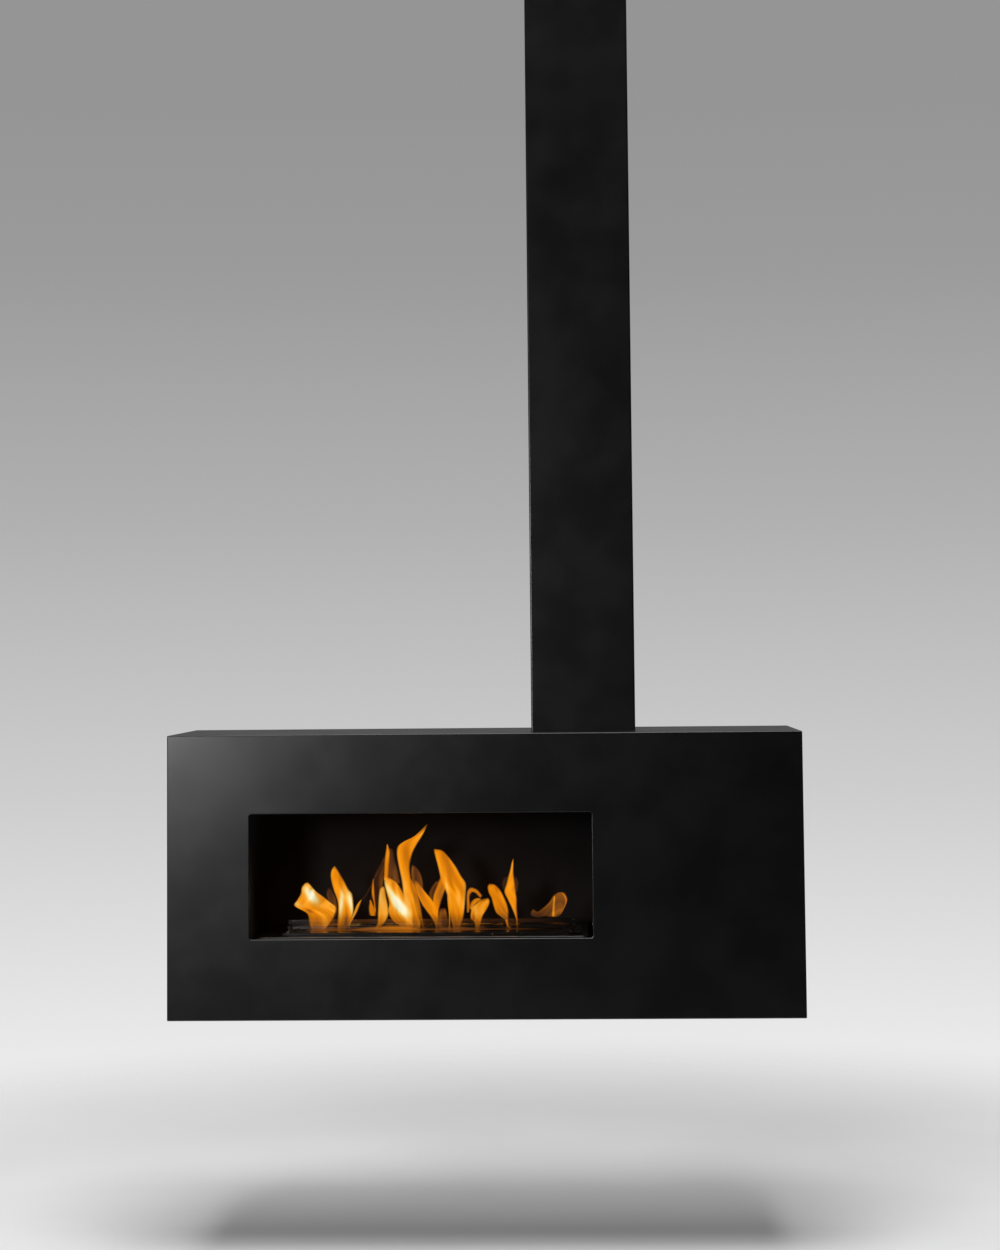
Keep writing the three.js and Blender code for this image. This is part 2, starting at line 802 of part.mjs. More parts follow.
// Perforated screen that lies on the wick, under the slot.
function burner_screen() {
  const length = slot_length + 2 * screen_border;
  const depth = slot_width + 2 * screen_border;
  const across = Math.floor(slot_length / screen_spacing);
  const row_pitch = slot_width / screen_rows;
  const holes = [];
  for (let row = 0; row < screen_rows; row += 1) {
    const y = (row - (screen_rows - 1) / 2) * row_pitch;
    for (let column = 0; column < across; column += 1) {
      const x = (column - (across - 1) / 2) * screen_spacing;
      holes.push(rounded_rectangle(x - screen_hole_length / 2, x + screen_hole_length / 2,
        y - screen_hole_width / 2, y + screen_hole_width / 2, screen_hole_width / 2, 1));
    }
  }
  const outline = centred_rectangle(length, depth, slot_corner);
  return piece('burner_screen', stainless, extruded_up(outline, screen_bottom, screen_top, holes));
}

// Lid and its rails. The lid lies in front of the slot and slides back over it.

const lid_length = slot_length + 2 * lid_lap;
const lid_depth = slot_width + 2 * lid_side_lap;
const lid_travel = lid_depth + 1;
const lid_y = -lid_travel;
const lid_bottom = top_plate_top + seat;
const lid_top = lid_bottom + thin_sheet;
const rail_web = lid_length / 2 + 2 * seat;
const rail_lip_bottom = lid_top + rail_headroom;
const rail_front = lid_y - lid_depth / 2 - seat;
const rail_back = lid_depth / 2 + seat;
const rail_screw_x = rail_web + rail_foot / 2 + rail_sheet;
const rail_screw_places = [-1, 1].flatMap((side) => [
  [side * rail_screw_x, rail_front + rail_foot],
  [side * rail_screw_x, rail_back - rail_foot],
]);

// Folded rail: a foot on the top plate and a lip over the lid's end, with a stop at either end.
function lid_rails() {
  return [['lid_rail_left', -1], ['lid_rail_right', 1]].map(([name, side]) => {
    const foot_top = lid_bottom + rail_sheet;
    const lip_top = rail_lip_bottom + rail_sheet;
    let face = [
      [side * (rail_web - rail_lip), lip_top],
      [side * (rail_web + rail_sheet), lip_top],
      [side * (rail_web + rail_sheet), foot_top],
      [side * (rail_web + rail_sheet + rail_foot), foot_top],
    ];
    if (side < 0) {
      face = face.reverse();
    }
    const profile = folded_sheet(face, rail_sheet, rail_sheet + seat);
    let rail = solid(extruded_back(profile, rail_front - rail_sheet, rail_back + rail_sheet));
    const stop_edges = [side * (rail_web - rail_lip), side * (rail_web + rail_sheet / 2)];
    for (const front of [rail_front - rail_sheet, rail_back]) {
      rail = rail.add(solid(box(Math.min(...stop_edges), Math.max(...stop_edges),
        front, front + rail_sheet, lid_bottom, lip_top - rail_sheet / 2)));
    }
    return piece(name, stainless, cut_screw_holes(rail, rail_screw_places));
  });
}

function burner_lid() {
  const hook_y = -lid_depth / 2 + lid_hook_margin;
  const holes = [-1, 1].map((side) => circle((side * lid_hook_spacing) / 2, hook_y, lid_hook_hole));
  const outline = centred_rectangle(lid_length, lid_depth, 1, 2);
  const lid = piece('burner_lid', stainless, extruded_up(outline, lid_bottom, lid_top, holes));
  lid.position.y = lid_y;
  return lid;
}

// Guard strip behind the slot: an angle with its upright edge at the rear.

const guard_length = burner_length - 2 * guard_margin;
const guard_back = burner_depth / 2 - guard_margin;
const guard_screw_y = guard_back - guard_foot / 2;
const guard_screw_spacing = (guard_length - 2 * guard_screw_margin) / (guard_screw_count - 1);
const guard_screw_places = [...Array(guard_screw_count).keys()].map(
  (number) => [(number - (guard_screw_count - 1) / 2) * guard_screw_spacing, guard_screw_y]);
const burner_screw_places = [...rail_screw_places, ...guard_screw_places];

function flame_guard() {
  const bottom = top_plate_top + seat;
  const face = [
    [guard_back - guard_foot, bottom + thin_sheet],
    [guard_back - thin_sheet, bottom + thin_sheet],
    [guard_back - thin_sheet, bottom + guard_height],
  ];
  const angle = solid(extruded_right(folded_sheet(face, thin_sheet), -guard_length / 2, guard_length / 2));
  return piece('flame_guard', stainless, cut_screw_holes(angle, guard_screw_places));
}

// Short screws that go through the top plate into the tank's ledge.
function burner_screws(name, places, under_head) {
  const length = under_head - tank_flange_top + thin_sheet;
  return places.map(([x, y], number) => {
    const screw = piece(`${name}_${number + 1}`, stainless, dome_screw(length));
    screw.position.set(x, y, under_head);
    return screw;
  });
}

function group(children, x = 0, y = 0, z = 0) {
  const assembly = new THREE.Group();
  assembly.add(...children);
  assembly.position.set(x, y, z);
  return assembly;
}

const hanger = group([
  ceiling_plate(),
  hanger_tube(),
  hanger_flange(),
  ...hanger_bolts(),
  ...support_channels(),
]);

const column = group([
  column_cover(),
  column_back_panel(),
  ...rear_screws('column_screw', black_coat, column_screw_places, column_panel_back + seat),
]);

const burner = group([
  burner_tank(),
  burner_top(),
  burner_wick(),
  burner_screen(),
  burner_lid(),
  ...lid_rails(),
  ...burner_screws('rail_screw', rail_screw_places, lid_bottom + rail_sheet + seat),
  flame_guard(),
  ...burner_screws('guard_screw', guard_screw_places, top_plate_top + thin_sheet + 2 * seat),
], burner_x, burner_y, deck_rise);

const firebox = group([
  ...firebox_sides(),
  firebox_roof(),
  firebox_floor(),
  firebox_back(),
  ...firebox_stands(),
  heat_shield(),
  burner_well(),
  burner_deck(),
  burner,
], opening_left, 0, opening_bottom);

const casing = group([
  casing_front_plate(),
  ...casing_walls(),
  casing_rear_frame(),
  casing_back_panel(),
  ...rear_screws('casing_screw', black_coat, casing_screw_places, casing_panel_back + seat),
  firebox,
], casing_left, casing_front, casing_bottom);

const fireplace = new THREE.Group();
fireplace.name = 'hanging_fireplace';
fireplace.add(hanger, column, casing);

export default fireplace;
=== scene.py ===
import math

import bpy
from mathutils import Matrix, Vector


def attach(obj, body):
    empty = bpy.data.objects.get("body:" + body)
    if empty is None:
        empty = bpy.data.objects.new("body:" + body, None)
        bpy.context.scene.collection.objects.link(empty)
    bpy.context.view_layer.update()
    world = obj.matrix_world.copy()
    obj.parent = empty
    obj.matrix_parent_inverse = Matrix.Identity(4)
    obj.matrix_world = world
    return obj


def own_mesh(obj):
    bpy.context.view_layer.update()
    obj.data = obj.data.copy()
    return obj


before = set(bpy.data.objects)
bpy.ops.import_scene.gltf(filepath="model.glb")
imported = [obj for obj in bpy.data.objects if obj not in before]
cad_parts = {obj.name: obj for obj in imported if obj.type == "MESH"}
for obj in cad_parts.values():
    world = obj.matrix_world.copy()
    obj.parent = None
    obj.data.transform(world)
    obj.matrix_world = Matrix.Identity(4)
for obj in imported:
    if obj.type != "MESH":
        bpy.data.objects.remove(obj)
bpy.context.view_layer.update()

# Camera: a long lens five metres off, a little above the casing's top and right of its middle. It
# looks slightly up with the picture shifted down, so that the column's upright edges draw together.

bpy.context.scene.view_settings.view_transform = "Standard"

camera_place = (0.0138, -5.3968, -1.3506)
camera_yaw, camera_pitch, camera_roll = 1.855, 4.19, 0.513

camera_data = bpy.data.cameras.new("camera")
camera_data.lens = 77.78
camera_data.shift_y = -0.1352
camera = bpy.data.objects.new("camera", camera_data)
turn = Matrix.Rotation(math.radians(camera_yaw), 4, "Z")
turn = turn @ Matrix.Rotation(math.radians(90 + camera_pitch), 4, "X")
turn = turn @ Matrix.Rotation(math.radians(-camera_roll), 4, "Z")
camera.matrix_world = Matrix.Translation(camera_place) @ turn
bpy.context.collection.objects.link(camera)
bpy.context.scene.camera = camera

# Studio floor: a round of board in matt off-white paint, with faint scuffs, under the hanging
# fireplace. Its rim fades into the backdrop.

floor_height = -2.49
floor_centre = (-0.19, 0.3)
floor_radius, floor_rim, fade_from = 2.7, 0.1, 1.0
floor_rings, floor_spokes = 24, 72
floor_scuffed, floor_clean = "#eeeeee", "#f4f4f4"
scuff_size = 0.588


def linear(colour):
    """An sRGB hex colour as linear red, green, blue and alpha."""
    parts = [int(colour[i:i + 2], 16) / 255 for i in (1, 3, 5)]
    return (*(c / 12.92 if c <= 0.04045 else ((c + 0.055) / 1.055) ** 2.4 for c in parts), 1.0)


def node(tree, kind, out=None, settings=None, links=None):
    """Adds a shader node and gives it, or its output of the given name. Settings in lower case are its
    properties, stops are a ramp's places and colours, and the rest are its sockets' values."""
    added = tree.nodes.new("ShaderNode" + kind)
    for name, value in (settings or {}).items():
        if name == "stops":
            elements = added.color_ramp.elements
            while len(elements) < len(value):
                elements.new(0.5)
            for element, (place, colour) in zip(elements, value):
                element.position = place
                element.color = linear(colour)
        elif isinstance(name, str) and name.islower():
            setattr(added, name, value)
        else:
            added.inputs[name].default_value = value
    for name, output in (links or {}).items():
        tree.links.new(output, added.inputs[name])
    return added.outputs[out] if out else added


def new_material(name):
    material = bpy.data.materials.new(name)
    material.use_nodes = True
    material.node_tree.nodes.clear()
    return material, material.node_tree


def new_piece(name, vertices, faces, material):
    mesh = bpy.data.meshes.new(name)
    mesh.from_pydata(vertices, [], faces)
    mesh.materials.append(material)
    mesh.polygons.foreach_set("use_smooth", [True] * len(mesh.polygons))
    mesh.update()
    piece = bpy.data.objects.new(name, mesh)
    bpy.context.collection.objects.link(piece)
    return piece


# Matt wall paint on board: nearly no shine, so that only the object's shadow marks it.
studio_paint, tree = new_material("rolled_matt_wall_paint")
place = node(tree, "TexCoord", "Object")
scuffs = node(tree, "TexNoise", "Fac", {"Scale": 1 / scuff_size, "Detail": 5.0}, {"Vector": place})
colour = node(tree, "ValToRGB", "Color", {"stops": [(0.3, floor_scuffed), (0.7, floor_clean)]},
              {"Fac": scuffs})
distance = node(tree, "VectorMath", "Value", {"operation": "LENGTH"}, {0: place})
fade = node(tree, "MapRange", "Result",
            {"interpolation_type": "SMOOTHSTEP", "From Min": fade_from, "From Max": floor_radius - floor_rim,
             "To Min": 1.0, "To Max": 0.0}, {"Value": distance})
paint = node(tree, "BsdfPrincipled", "BSDF", {"Roughness": 0.9, "Specular IOR Level": 0.1},
             {"Base Color": colour, "Alpha": fade})
node(tree, "OutputMaterial", links={"Surface": paint})

floor_points = [(0.0, 0.0, 0.0)]
floor_faces = [(0, 1 + spoke, 1 + (spoke + 1) % floor_spokes) for spoke in range(floor_spokes)]
for ring in range(1, floor_rings + 1):
    for spoke in range(floor_spokes):
        angle = 2 * math.pi * spoke / floor_spokes
        reach = floor_radius * ring / floor_rings
        floor_points.append((reach * math.cos(angle), reach * math.sin(angle), 0.0))
        if ring < floor_rings:
            near = 1 + (ring - 1) * floor_spokes
            following = (spoke + 1) % floor_spokes
            floor_faces.append((near + spoke, near + floor_spokes + spoke,
                                near + floor_spokes + following, near + following))
studio_floor = new_piece("studio_floor", floor_points, floor_faces, studio_paint)
studio_floor.location = (*floor_centre, floor_height)

# Backdrop: a seamless grey that is darker higher up. Polished pieces mirror the half of it behind the
# object, and it lights the object only dimly from all round.

# Its grey by the sine of the elevation at which it is seen, from the floor up.
backdrop_greys = [(-0.17, "#f2f2f2"), (-0.05, "#cdcdcd"), (0.05, "#b0b0b0"), (0.14, "#9b9b9b"),
                  (0.2, "#959595")]
backdrop_low, backdrop_high = -0.2, 0.25
mirrored_from, mirrored_full, mirrored_strength = -0.1, 0.5, 0.5
ambient = 0.2

world = bpy.data.worlds.new("pale_backdrop")
bpy.context.scene.world = world
world.use_nodes = True
tree = world.node_tree
tree.nodes.clear()
direction = node(tree, "SeparateXYZ", links={"Vector": node(tree, "TexCoord", "Generated")}).outputs
height = node(tree, "MapRange", "Result", {"From Min": backdrop_low, "From Max": backdrop_high},
              {"Value": direction["Z"]})
stops = [((sine - backdrop_low) / (backdrop_high - backdrop_low), grey) for sine, grey in backdrop_greys]
grey = node(tree, "ValToRGB", "Color", {"stops": stops}, {"Fac": height})
behind = node(tree, "MapRange", "Result",
              {"interpolation_type": "SMOOTHSTEP", "From Min": mirrored_from, "From Max": mirrored_full,
               "To Min": 0.0, "To Max": mirrored_strength}, {"Value": direction["Y"]})
backdrop = node(tree, "Background", "Background", {"Strength": 1.0}, {"Color": grey})
mirrored = node(tree, "Background", "Background", links={"Color": grey, "Strength": behind})
dim = node(tree, "Background", "Background", {"Color": (1, 1, 1, 1), "Strength": ambient})
rays = node(tree, "LightPath").outputs
seen = node(tree, "Math", "Value", {"operation": "MAXIMUM"},
            {0: rays["Is Camera Ray"], 1: rays["Is Transmission Ray"]})
unseen = node(tree, "MixShader", "Shader", links={0: rays["Is Glossy Ray"], 1: dim, 2: mirrored})
shown = node(tree, "MixShader", "Shader", links={0: seen, 1: unseen, 2: backdrop})
node(tree, "OutputWorld", links={"Surface": shown})

# Softboxes: one overhead and one high in front light the object and cast its shadow. A small one low
# on the left draws the sheen across the casing's front.

# name, place, aimed at, width, height, watts
softboxes = [
    ("softbox_overhead", (-0.2, -1.0, 2.2), (-0.19, 0.2, -2.2), 2.4, 2.4, 100),
    ("softbox_high_front", (-0.3, -2.5, 2.9), (-0.19, 0.2, -2.2), 2.6, 1.8, 125),
    ("softbox_left", (-1.95, -4.5, -1.10), (-0.6, -0.28, -1.7), 0.7, 0.7, 72),
]


def add_lamp(name, place, target, width, height, watts, colour="#ffffff"):
    light = bpy.data.lights.new(name, "AREA")
    light.shape = "RECTANGLE"
    light.size, light.size_y = width, height
    light.energy = watts
    light.color = linear(colour)[:3]
    lamp = bpy.data.objects.new(name, light)
    lamp.location = place
    lamp.rotation_euler = (Vector(target) - Vector(place)).to_track_quat("-Z", "Y").to_euler()
    lamp.visible_camera = False
    bpy.context.collection.objects.link(lamp)
    return lamp


for softbox in softboxes:
    add_lamp(*softbox)

# Casing and column: steel plate welded and ground, and folded sheet, with dome-head screws that hold
# the back panels. All are powder coated in one satin black.

coat_black, coat_grey = "#060606", "#0a0a0a"
coat_smoothest, coat_roughest = 0.24, 0.27
coat_patch = 0.111
# Orange peel is about a millimetre across, and the wide plates bow a little between their welds.
peel_size, peel_height = 0.0012, 0.000004
bow_size, bow_height = 0.24, 0.0002


def dress(nodes, material):
    for name in nodes:
        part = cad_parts[name]
        part.data.materials.clear()
        part.data.materials.append(material)


def numbered(name, count):
    return [f"{name}_{number}" for number in range(1, count + 1)]


# Satin powder coat: a broad soft sheen from the fine peel, near black where nothing is mirrored.
satin_black, tree = new_material("powder_coated_steel_satin")
place = node(tree, "TexCoord", "Object")
patches = node(tree, "TexNoise", "Fac", {"Scale": 1 / coat_patch, "Detail": 3.0}, {"Vector": place})
bow = node(tree, "TexNoise", "Fac", {"Scale": 1 / bow_size, "Detail": 1.0}, {"Vector": place})
peel = node(tree, "TexNoise", "Fac", {"Scale": 1 / peel_size, "Detail": 2.0}, {"Vector": place})
bowed = node(tree, "Bump", "Normal", {"Distance": bow_height}, {"Height": bow})
peeled = node(tree, "Bump", "Normal", {"Distance": peel_height}, {"Height": peel, "Normal": bowed})
colour = node(tree, "ValToRGB", "Color", {"stops": [(0.35, coat_black), (0.65, coat_grey)]}, {"Fac": patches})
rough = node(tree, "MapRange", "Result",
             {"interpolation_type": "SMOOTHSTEP", "From Min": 0.3, "From Max": 0.7,
              "To Min": coat_smoothest, "To Max": coat_roughest}, {"Value": patches})
coat = node(tree, "BsdfPrincipled", "BSDF",
            links={"Base Color": colour, "Roughness": rough, "Normal": peeled})
node(tree, "OutputMaterial", links={"Surface": coat})

dress(["casing_front", "casing_top", "casing_bottom", "casing_left", "casing_right", "casing_rear_frame",
       "casing_back_panel", "column_cover", "column_back_panel"], satin_black)
dress([*numbered("casing_screw", 8), *numbered("column_screw", 6)], satin_black)

# Hanger, firebox stands and heat shield: sawn plate, square tube and folded sheet, hot-dip
# galvanised. The hanger is held together by four zinc-plated M12 bolts.

spangle_size, bloom_size, bloom_height = 0.009, 0.0286, 0.00004
zinc_stain = 0.00385

# Hot-dip zinc: dull grey crystals of different shades, some smoother than others.
galvanised_steel, tree = new_material("hot_dip_galvanised_steel")
place = node(tree, "TexCoord", "Object")
spangle = node(tree, "TexVoronoi", "Color", {"Scale": 1 / spangle_size}, {"Vector": place})
tone = node(tree, "SeparateColor", "Red", links={"Color": spangle})
bloom = node(tree, "TexNoise", "Fac", {"Scale": 1 / bloom_size, "Detail": 4.0}, {"Vector": place})
grey = node(tree, "Math", "Value", {"operation": "MULTIPLY_ADD", 1: 0.6}, {0: tone, 2: bloom})
colour = node(tree, "ValToRGB", "Color", {"stops": [(0.3, "#9a9da0"), (0.9, "#c3c6c8")]}, {"Fac": grey})
rough = node(tree, "MapRange", "Result",
             {"interpolation_type": "SMOOTHSTEP", "To Min": 0.38, "To Max": 0.55}, {"Value": tone})
bumped = node(tree, "Bump", "Normal", {"Distance": bloom_height}, {"Height": bloom})
zinc = node(tree, "BsdfPrincipled", "BSDF", {"Metallic": 1.0},
            {"Base Color": colour, "Roughness": rough, "Normal": bumped})
node(tree, "OutputMaterial", links={"Surface": zinc})

# Electroplated zinc: bright, with faint blue and yellow passivation stains.
zinc_plated_steel, tree = new_material("bright_zinc_plated_steel")
place = node(tree, "TexCoord", "Object")
stain = node(tree, "TexNoise", "Fac", {"Scale": 1 / zinc_stain, "Detail": 3.0}, {"Vector": place})
colour = node(tree, "ValToRGB", "Color",
              {"stops": [(0.3, "#b9bcc0"), (0.6, "#c9c6b4"), (0.75, "#b7bfc9")]}, {"Fac": stain})
rough = node(tree, "MapRange", "Result",
             {"interpolation_type": "SMOOTHSTEP", "From Min": 0.3, "From Max": 0.7,
              "To Min": 0.24, "To Max": 0.4}, {"Value": stain})
plate = node(tree, "BsdfPrincipled", "BSDF", {"Metallic": 1.0}, {"Base Color": colour, "Roughness": rough})
node(tree, "OutputMaterial", links={"Surface": plate})

dress(["ceiling_plate", "hanger_tube", "hanger_flange", "support_channel_front", "support_channel_rear",
       "firebox_stand_front", "firebox_stand_rear", "heat_shield"], galvanised_steel)
dress(numbered("hanger_bolt", 4), zinc_plated_steel)

# Firebox and burner deck: folded steel sheet sprayed with black heat-resistant paint, matt on the
# firebox's walls and satin on the deck. The fire browns and soots it just above the burner.

paint_black, paint_browned = "#090808", "#140f0b"
soot_low, soot_high, soot_roughness = -1.88, -1.66, 0.2
paint_patch, spray_grain, spray_height = 0.091, 0.000714, 0.00001


def heat_resistant_paint(name, smoothest, roughest, specular):
    """Sprayed silicone paint: fine dry grain and patches of duller overspray."""
    material, tree = new_material(name)
    place = node(tree, "TexCoord", "Object")
    height = node(tree, "SeparateXYZ", "Z", links={"Vector": place})
    patches = node(tree, "TexNoise", "Fac", {"Scale": 1 / paint_patch, "Detail": 5.0, "Roughness": 0.6},
                   {"Vector": place})
    spray = node(tree, "TexNoise", "Fac", {"Scale": 1 / spray_grain, "Detail": 1.0}, {"Vector": place})
    near_fire = node(tree, "MapRange", "Result",
                     {"interpolation_type": "SMOOTHSTEP", "From Min": soot_low, "From Max": soot_high,
                      "To Min": 1.0, "To Max": 0.0}, {"Value": height})
    browned = node(tree, "Math", "Value", {"operation": "MULTIPLY"}, {0: near_fire, 1: patches})
    colour = node(tree, "ValToRGB", "Color", {"stops": [(0.1, paint_black), (0.65, paint_browned)]},
                  {"Fac": browned})
    rough = node(tree, "MapRange", "Result",
                 {"interpolation_type": "SMOOTHSTEP", "From Min": 0.3, "From Max": 0.7,
                  "To Min": smoothest, "To Max": roughest}, {"Value": patches})
    soot = node(tree, "MapRange", "Result",
                {"interpolation_type": "SMOOTHSTEP", "From Min": soot_low, "From Max": soot_high,
                 "To Min": 0.0, "To Max": soot_roughness}, {"Value": height})
    sooted = node(tree, "Math", "Value", {"operation": "ADD"}, {0: rough, 1: soot})
    bumped = node(tree, "Bump", "Normal", {"Distance": spray_height}, {"Height": spray})
    paint = node(tree, "BsdfPrincipled", "BSDF", {"Specular IOR Level": specular},
                 {"Base Color": colour, "Roughness": sooted, "Normal": bumped})
    node(tree, "OutputMaterial", links={"Surface": paint})
    return material


dress(["firebox_left", "firebox_right", "firebox_roof", "firebox_floor", "firebox_back"],
      heat_resistant_paint("sprayed_matt_heat_resistant_paint", 0.74, 0.84, 0.3))
dress(["burner_deck"], heat_resistant_paint("sprayed_satin_heat_resistant_paint", 0.15, 0.21, 0.5))

# Burner: tank, well, top plate, lid, rails and guard strip of brushed stainless steel sheet, held by
# dome-head screws, round a wick of pressed white ceramic wool under a perforated screen.

burner_centre = (-0.297, -0.150, -1.882)
slot_half_length, slot_half_width = 0.255, 0.022
# The brush's scratches are finer than this, and are drawn as coarse as they need to show.
grain_width, grain_length, grain_depth = 0.0004, 0.05, 0.000004
tint_reach, tint_patch, tint_unevenness = 0.05, 0.0417, 0.02
fibre_size, fibre_depth, scorch_size = 0.00238, 0.0006, 0.0333

# Brushed stainless steel: long scratches along the slot, and heat tints that run from blue by bronze
# and straw to bare steel as the hot slot gets farther away.
brushed_steel, tree = new_material("brushed_stainless_steel_heat_tinted")
place = node(tree, "TexCoord", "Object")
stretched = node(tree, "Mapping", "Vector",
                 {"Scale": (1 / grain_length, 1 / grain_width, 1 / grain_width)}, {"Vector": place})
grain = node(tree, "TexNoise", "Fac", {"Scale": 1.0, "Detail": 3.0}, {"Vector": stretched})
patches = node(tree, "TexNoise", "Fac", {"Scale": 1 / tint_patch, "Detail": 2.0}, {"Vector": place})
axes = node(tree, "SeparateXYZ", links={"Vector": place}).outputs
away = node(tree, "Math", "Value", {"operation": "MULTIPLY_ADD", 1: tint_unevenness, 2: -tint_unevenness / 2},
            {0: patches})
for axis, middle, half in (("X", burner_centre[0], slot_half_length),
                           ("Y", burner_centre[1], slot_half_width)):
    offset = node(tree, "Math", "Value", {"operation": "SUBTRACT", 1: middle}, {0: axes[axis]})
    off = node(tree, "Math", "Value", {"operation": "ABSOLUTE"}, {0: offset})
    past = node(tree, "Math", "Value", {"operation": "SUBTRACT", 1: half}, {0: off})
    outside = node(tree, "Math", "Value", {"operation": "MAXIMUM", 1: 0.0}, {0: past})
    away = node(tree, "Math", "Value", {"operation": "ADD"}, {0: away, 1: outside})
tint = node(tree, "MapRange", "Result", {"From Min": 0.0, "From Max": tint_reach}, {"Value": away})
colour = node(tree, "ValToRGB", "Color",
              {"stops": [(0.0, "#5d5f72"), (0.12, "#6d5050"), (0.28, "#8a6a44"), (0.5, "#9c8b70"),
                         (0.8, "#a09c96")]}, {"Fac": tint})
rough = node(tree, "MapRange", "Result",
             {"interpolation_type": "SMOOTHSTEP", "From Min": 0.3, "From Max": 0.7,
              "To Min": 0.1, "To Max": 0.16}, {"Value": grain})
bumped = node(tree, "Bump", "Normal", {"Distance": grain_depth}, {"Height": grain})
steel = node(tree, "BsdfPrincipled", "BSDF", {"Metallic": 1.0},
             {"Base Color": colour, "Roughness": rough, "Normal": bumped})
node(tree, "OutputMaterial", links={"Surface": steel})

# Pressed ceramic wool: soft tangled fibres, white with scorched patches. The fibres are far finer
# than this, and are drawn as coarse as they need to show.
ceramic_wool, tree = new_material("pressed_ceramic_wool")
place = node(tree, "TexCoord", "Object")
fibres = node(tree, "TexNoise", "Fac", {"Scale": 1 / fibre_size, "Detail": 6.0, "Distortion": 2.5},
              {"Vector": place})
scorch = node(tree, "TexNoise", "Fac", {"Scale": 1 / scorch_size, "Detail": 3.0}, {"Vector": place})
colour = node(tree, "ValToRGB", "Color", {"stops": [(0.35, "#8c8378"), (0.6, "#e4ded2")]}, {"Fac": scorch})
bumped = node(tree, "Bump", "Normal", {"Distance": fibre_depth}, {"Height": fibres})
wool = node(tree, "BsdfPrincipled", "BSDF", {"Roughness": 0.95}, {"Base Color": colour, "Normal": bumped})
node(tree, "OutputMaterial", links={"Surface": wool})

dress(["burner_tank", "burner_well", "burner_top", "burner_screen", "burner_lid", "lid_rail_left",
       "lid_rail_right", "flame_guard"], brushed_steel)
dress([*numbered("rail_screw", 4), *numbered("guard_screw", 5)], brushed_steel)
dress(["burner_wick"], ceramic_wool)

# Flames: thin sheets of burning ethanol vapour that stand in the slot, orange with pale yellow cores
# and brownish roots, over a low bed of flame.

flame_rows, flame_columns = 40, 14
# All lengths of the flames are millimetres. A flame that starts low is rooted in the slot, with its
# root pinched by a share of its width on either side.
slot_depth, rooted_below, root_pinch = -6, 24, 0.3
# Share of its width by which a sheet bows forward.
sheet_bow = 0.2
edge_blur, edge_softness, edge_heat = 3.4, 1.3, 0.06
# A root is faintest at its foot and whole at its full height. It is cooler too, by a share.
root_faintest, root_foot, root_height, root_cooling = 0.1, 1, 38, 0.28
tip_sharpness = 9
streak_width, streak_length, streak_heat = 20, 90, 0.45

